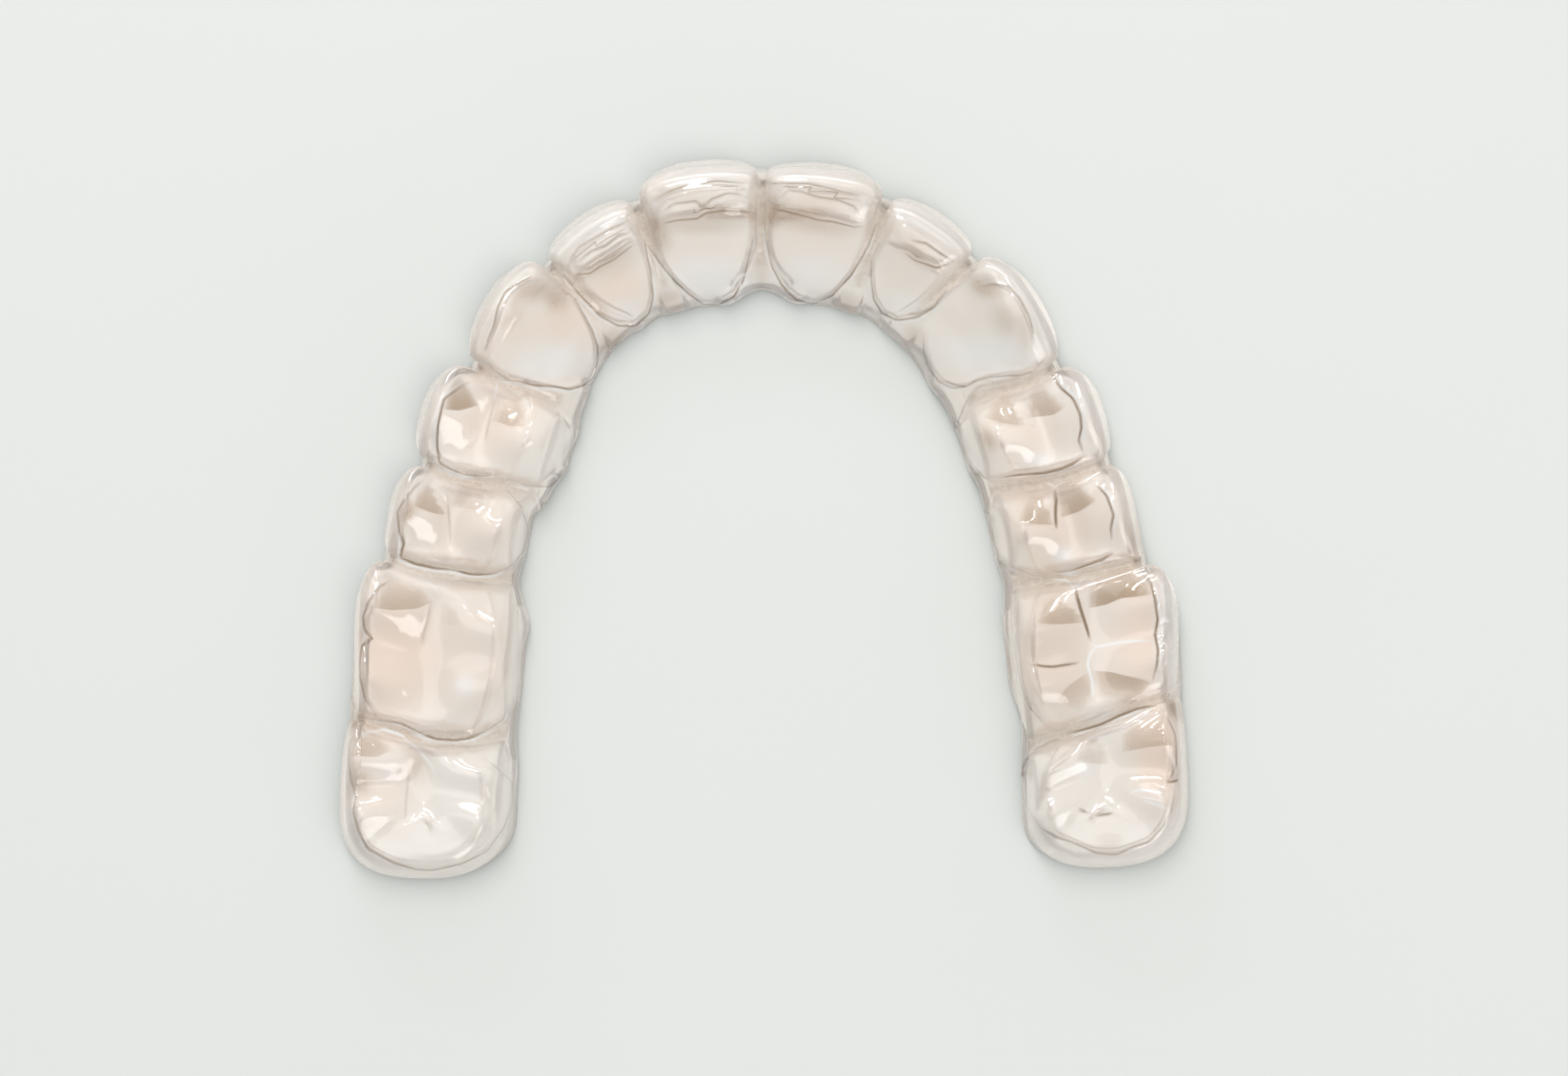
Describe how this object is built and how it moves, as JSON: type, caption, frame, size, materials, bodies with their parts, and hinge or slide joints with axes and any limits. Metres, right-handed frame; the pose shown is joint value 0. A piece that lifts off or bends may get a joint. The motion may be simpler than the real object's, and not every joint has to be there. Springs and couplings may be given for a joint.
{
  "type": "clear dental aligner",
  "caption": "Clear thermoformed upper-arch aligner: a thin U-shaped plastic shell with a hollow crown for every tooth and a level trimmed rim.",
  "frame": {"origin": "bottom centre of the bounding box, on the surface that the trimmed rim rests on", "axes": "+Z out of the biting side, +Y towards the incisors, +X to the right as seen from the biting side"},
  "size_m": [0.061, 0.0516, 0.0096],
  "materials": {
    "clear_copolyester": "clear and glossy, with a faint beige tint"
  },
  "bodies": {
    "root": {"aligner_shell": "clear_copolyester"}
  },
  "joints": []
}
